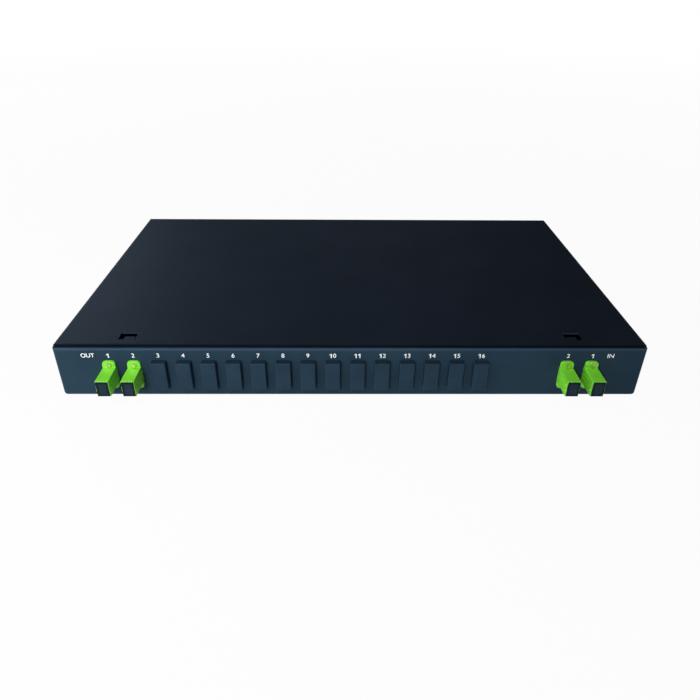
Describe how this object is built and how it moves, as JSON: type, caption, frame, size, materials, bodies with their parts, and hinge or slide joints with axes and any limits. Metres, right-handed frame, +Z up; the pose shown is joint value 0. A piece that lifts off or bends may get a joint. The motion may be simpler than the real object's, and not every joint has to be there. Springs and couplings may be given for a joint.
{
  "type": "rack-mount fibre splitter",
  "caption": "Flat blue-black folded-steel case with a row of numbered fibre ports: green flanged adapters with dust caps at both ends and black blank plugs between them.",
  "frame": {"origin": "middle of the underside of the case", "axes": "+X to the right along the front, +Y to the rear, +Z up"},
  "size_m": [0.4318, 0.2702, 0.044],
  "materials": {
    "blue_black_powder_coat": "fine-textured satin powder coat on folded steel sheet",
    "green_plastic": "bright moulded plastic with a soft gloss",
    "black_plastic": "moulded, lightly frosted",
    "grey_plastic": "moulded",
    "white_plastic": "moulded",
    "zirconia": "ground and polished",
    "green_rubber": "soft boot",
    "yellow_jacket": "smooth tight-buffer jacket",
    "module_black": "moulded box",
    "black_steel": "black zinc plating",
    "yellow_zinc": "yellow zinc plating",
    "bright_zinc": "bright zinc plating"
  },
  "bodies": {
    "case": {"adapter_nuts": "bright_zinc", "adapter_screws": "yellow_zinc", "blank_plug_03": "black_plastic", "blank_plug_04": "black_plastic", "blank_plug_05": "black_plastic", "blank_plug_06": "black_plastic", "blank_plug_07": "black_plastic", "blank_plug_08": "black_plastic", "blank_plug_09": "black_plastic", "blank_plug_10": "black_plastic", "blank_plug_11": "black_plastic", "blank_plug_12": "black_plastic", "blank_plug_13": "black_plastic", "blank_plug_14": "black_plastic", "blank_plug_15": "black_plastic", "blank_plug_16": "black_plastic", "case_clinch_nuts": "bright_zinc", "case_screws": "black_steel", "chassis_base": "blue_black_powder_coat", "ear_clinch_nuts": "bright_zinc", "fibre_clips": "grey_plastic", "fibre_guide_left": "grey_plastic", "fibre_guide_right": "grey_plastic", "front_panel": "blue_black_powder_coat", "in_1_adapter_housing": "green_plastic", "in_1_connector_boot": "green_rubber", "in_1_connector_grip": "green_plastic", "in_1_connector_plug": "white_plastic", "in_1_pigtail": "yellow_jacket", "in_1_sleeve_holder": "white_plastic", "in_1_split_sleeve": "zirconia", "in_2_adapter_housing": "green_plastic", "in_2_connector_boot": "green_rubber", "in_2_connector_grip": "green_plastic", "in_2_connector_plug": "white_plastic", "in_2_pigtail": "yellow_jacket", "in_2_sleeve_holder": "white_plastic", "in_2_split_sleeve": "zirconia", "module_posts": "grey_plastic", "out_1_adapter_housing": "green_plastic", "out_1_connector_boot": "green_rubber", "out_1_connector_grip": "green_plastic", "out_1_connector_plug": "white_plastic", "out_1_pigtail": "yellow_jacket", "out_1_sleeve_holder": "white_plastic", "out_1_split_sleeve": "zirconia", "out_2_adapter_housing": "green_plastic", "out_2_connector_boot": "green_rubber", "out_2_connector_grip": "green_plastic", "out_2_connector_plug": "white_plastic", "out_2_pigtail": "yellow_jacket", "out_2_sleeve_holder": "white_plastic", "out_2_split_sleeve": "zirconia", "splitter_module": "module_black", "top_cover": "blue_black_powder_coat"},
    "in_1_cap": {"in_1_dust_cap": "black_plastic"},
    "in_2_cap": {"in_2_dust_cap": "black_plastic"},
    "out_1_cap": {"out_1_dust_cap": "black_plastic"},
    "out_2_cap": {"out_2_dust_cap": "black_plastic"}
  },
  "joints": [
    {"name": "in_1_cap_pull", "type": "slide", "parent": "case", "child": "in_1_cap", "axis": [0, -1, 0], "range_m": [0, 0.02]},
    {"name": "in_2_cap_pull", "type": "slide", "parent": "case", "child": "in_2_cap", "axis": [0, -1, 0], "range_m": [0, 0.02]},
    {"name": "out_1_cap_pull", "type": "slide", "parent": "case", "child": "out_1_cap", "axis": [0, -1, 0], "range_m": [0, 0.02]},
    {"name": "out_2_cap_pull", "type": "slide", "parent": "case", "child": "out_2_cap", "axis": [0, -1, 0], "range_m": [0, 0.02]}
  ]
}
